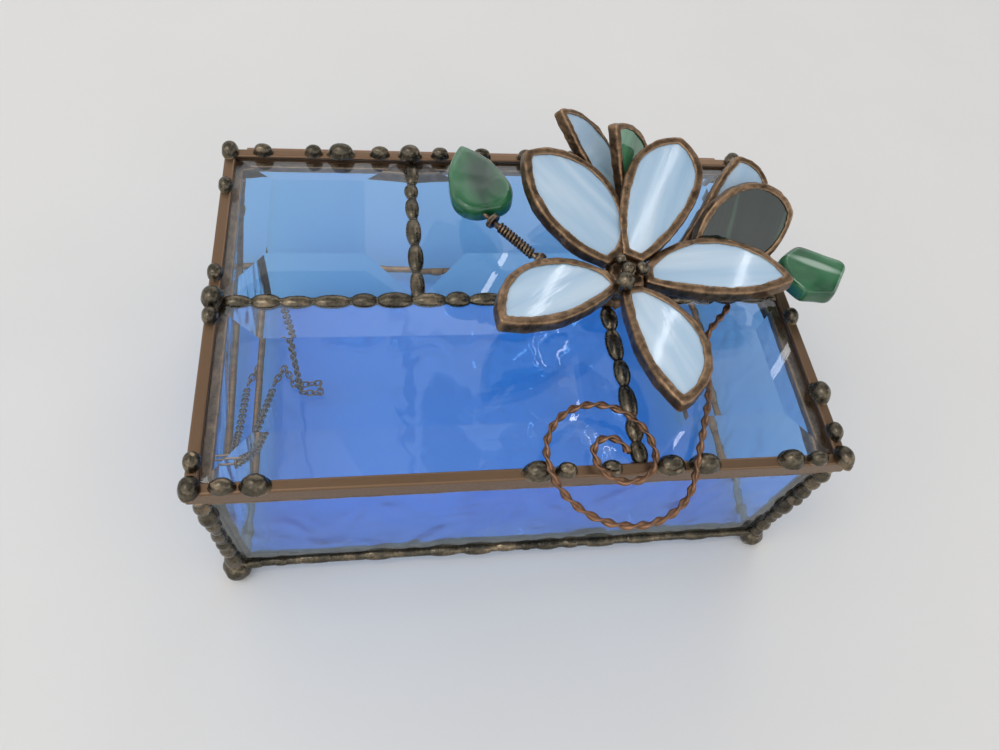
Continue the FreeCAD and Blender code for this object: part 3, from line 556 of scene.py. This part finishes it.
def twisted(line, ropeMm, pitchMm, wires=2):
    line, total = evenly(line, 0.3 * mm)
    wire = ropeMm * mm * 0.29
    points, faces = [], []
    for strand in range(wires):
        rings = []
        for index, p in enumerate(line):
            ahead = line[min(index + 1, len(line) - 1)] - line[max(index - 1, 0)]
            ahead.normalize()
            side = Vector((-ahead.y, ahead.x, 0)).normalized()
            up = side.cross(ahead)
            angle = 2 * math.pi * (index * 0.3 / pitchMm + strand / wires)
            out = side * math.cos(angle) + up * math.sin(angle)
            around = ahead.cross(out)
            slope = math.atan(2 * math.pi * wire / (pitchMm * mm))
            heading = (ahead * math.cos(slope) + around * math.sin(slope)).normalized()
            b = heading.cross(out).normalized()
            centre = p + out * wire * 0.74
            rings.append([centre + (out * math.cos(t) + b * math.sin(t)) * wire
                          for t in [2 * math.pi * k / 12 for k in range(12)]])
        more, newFaces = sweptTube(rings)
        faces += [tuple(len(points) + k for k in face) for face in newFaces]
        points += more
    return points, faces


points, faces = twisted(handleLine(handle), handle["ropeMm"], handle["pitchMm"])
newPiece("twistedHandle", meshFrom("twistedHandle", points, faces), finishes["copperWirePatina"], "lid",
         ["wire_handle"])
print("handle twisted")


# Flower, buds and leaves

petalTurns = {"a": 128.0, "b": 62.4, "c": -7.7, "d": -83.7, "e": -151.6}
for petal, turn in petalTurns.items():
    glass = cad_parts["petal_glass_" + petal].data
    glass.materials.clear()
    glass.materials.append(streakyGlass("opalSheet_" + petal, "opalSheet", turn + 6))
    melted("petalRim_" + petal, "petal_rim_" + petal, finishes["rimPatina"], "lid", 0.3, 2,
           [(5.5, 0.3), (1.6, 0.12)])
for bud, white, green, greenFinish in (("back", -125, -110, "greenOpalSheet"), ("right", 60, 78, "greenStreakySheet")):
    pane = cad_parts["bud_%s_white_glass" % bud].data
    pane.materials.clear()
    pane.materials.append(streakyGlass("opalSheet_bud_" + bud, "opalSheet", white))
    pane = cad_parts["bud_%s_green_glass" % bud].data
    pane.materials.clear()
    pane.materials.append(streakyGlass(greenFinish, greenFinish, green))
    melted("budRims_" + bud, "bud_%s_rims" % bud, finishes["rimPatina"], "lid", 0.3, 2,
           [(4.5, 0.3), (1.5, 0.14)])
melted("flowerSupport", "flower_support", finishes["rimPatina"], "lid", 0.35, 3, [(3.0, 0.4), (1.2, 0.15)])
melted("leftStem", "left_leaf_stem", finishes["darkWirePatina"], "lid", 0.25, 2, [(2.0, 0.2)])
melted("stamens", "stamens", finishes["solderPatina"], "lid", 0.2, 2, [(2.2, 0.05)])

# A dark heart in the left leaf, and a pale streak along the right one that is a painted highlight
leafSettings = {
    "left": {"turn": 104, "relax": 26, "patch": {
        "colour": "#3A4742", "turn": 104, "lengthMm": 10.5, "widthMm": 6.5, "soft": 0.3, "share": 0.85}},
    # the right leaf's pale streak is a painted highlight along the leaf
    "right": {"turn": -26, "relax": 12, "patch": {
        "colour": "#B4C8B8", "turn": -26, "lengthMm": 8.5, "widthMm": 1.5, "soft": 0.5, "share": 0.75}},
}
for side, s in leafSettings.items():
    low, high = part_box(side + "_leaf")
    s["patch"]["middle"] = (low + high) / 2 + Vector((0, 0.0012 if side == "right" else 0, 0))
    material = streakyGlass("castLeafGlass_" + side, "castLeafGlass", s["turn"], s["patch"])
    melted("castLeaf_" + side, side + "_leaf", material, "lid", 0.5, s["relax"], [(6.0, 0.4)])
print("flower dressed")


# Chain stay

for node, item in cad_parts.items():
    if node.startswith("chain"):
        item.data.materials.clear()
        item.data.materials.append(finishes["chainPatina"])


# Floor, light and camera

stage = {"floorMm": 4000, "sky": 0.86, "backdrop": 0.86, "key": 6.5, "window": 1.0, "strip": 0.6}
floorMaterial, place = startMaterial("paintedBoard")  # matt white painted board, faintly uneven
grain = addNode(floorMaterial, "ShaderNodeTexNoise", {"Vector": place, "Scale": perMetre(60), "Detail": 2.0})
tone = addNode(floorMaterial, "ShaderNodeMixRGB", {
    "Fac": grain.outputs["Fac"], "Color1": linear("#DCDAD7"), "Color2": linear("#E1DFDC")})
board = addNode(floorMaterial, "ShaderNodeBsdfPrincipled", {
    "Base Color": tone.outputs["Color"], "Roughness": 0.7, "Specular IOR Level": 0.2})
addNode(floorMaterial, "ShaderNodeOutputMaterial", {"Surface": board.outputs["BSDF"]})
half = stage["floorMm"] * mm / 2
floor = bpy.data.objects.new("floor", meshFrom("floor", [
    (-half, -half, 0), (half, -half, 0), (half, half, 0), (-half, half, 0)], [(0, 1, 2, 3)]))
floor.location.z = -0.00002
bpy.context.scene.collection.objects.link(floor)
floor.data.materials.append(floorMaterial)

world = bpy.data.worlds.new("studio")
bpy.context.scene.world = world
world.use_nodes = True
patches = addNode(world, "ShaderNodeTexNoise", {  # a pale room: soft light and dark areas round the object
    "Vector": addNode(world, "ShaderNodeTexCoord").outputs["Generated"], "Scale": 1.7, "Detail": 1.0})
room = addNode(world, "ShaderNodeMapRange", {
    "Value": patches.outputs["Fac"], "From Min": 0.35, "From Max": 0.65,
    "To Min": 0.35 * stage["sky"], "To Max": 1.75 * stage["sky"]})
path = addNode(world, "ShaderNodeLightPath")  # seen straight or through glass, the room is an even pale grey
seen = addNode(world, "ShaderNodeMath", {
    0: path.outputs["Is Camera Ray"], 1: path.outputs["Is Transmission Ray"]}, operation="MAXIMUM")
strength = addNode(world, "ShaderNodeMapRange", {
    "Value": seen.outputs["Value"], "To Min": room.outputs["Result"], "To Max": stage["backdrop"]})
sky = world.node_tree.nodes["Background"]
sky.inputs["Color"].default_value = linear("#F4F5F7")
world.node_tree.links.new(strength.outputs["Result"], sky.inputs["Strength"])


def softbox(name, place, target, size, watts):
    data = bpy.data.lights.new(name, "AREA")
    data.shape = "RECTANGLE"
    data.size, data.size_y = size
    data.energy = watts
    lamp = bpy.data.objects.new(name, data)
    lamp.location = place
    lamp.rotation_mode = "QUATERNION"
    lamp.rotation_quaternion = (Vector(target) - Vector(place)).to_track_quat("-Z", "Y")
    bpy.context.scene.collection.objects.link(lamp)
    return lamp


softbox("frontSoftbox", (-0.75, -0.45, 1.0), (0, 0, 0.03), (2.0, 2.0), stage["key"])
softbox("windowLamp", (-0.45, -0.15, 1.1), (0, 0, 0.06), (0.3, 0.3), stage["window"])
softbox("stripLamp", (0.48, 0.80, 1.15), (0.01, 0, 0.06), (0.014, 1.9), stage["strip"])

camera = bpy.data.cameras.new("camera")
camera.sensor_width = 36.0
camera.lens = 26.30
camera.clip_start, camera.clip_end = 0.005, 20
viewer = bpy.data.objects.new("camera", camera)
right = Vector((0.98727502, -0.10351819, 0.12071462))
down = Vector((-0.02563252, -0.85277267, -0.5216529))
ahead = Vector((0.15694269, 0.51192066, -0.84457458))
turned = Matrix((right, -down, -ahead)).transposed().to_4x4()
turned.translation = at(-34.865, -117.653, 210.547)
viewer.matrix_world = turned
bpy.context.scene.collection.objects.link(viewer)
bpy.context.scene.camera = viewer
bpy.context.scene.view_settings.view_transform = "Standard"
print("stage set")
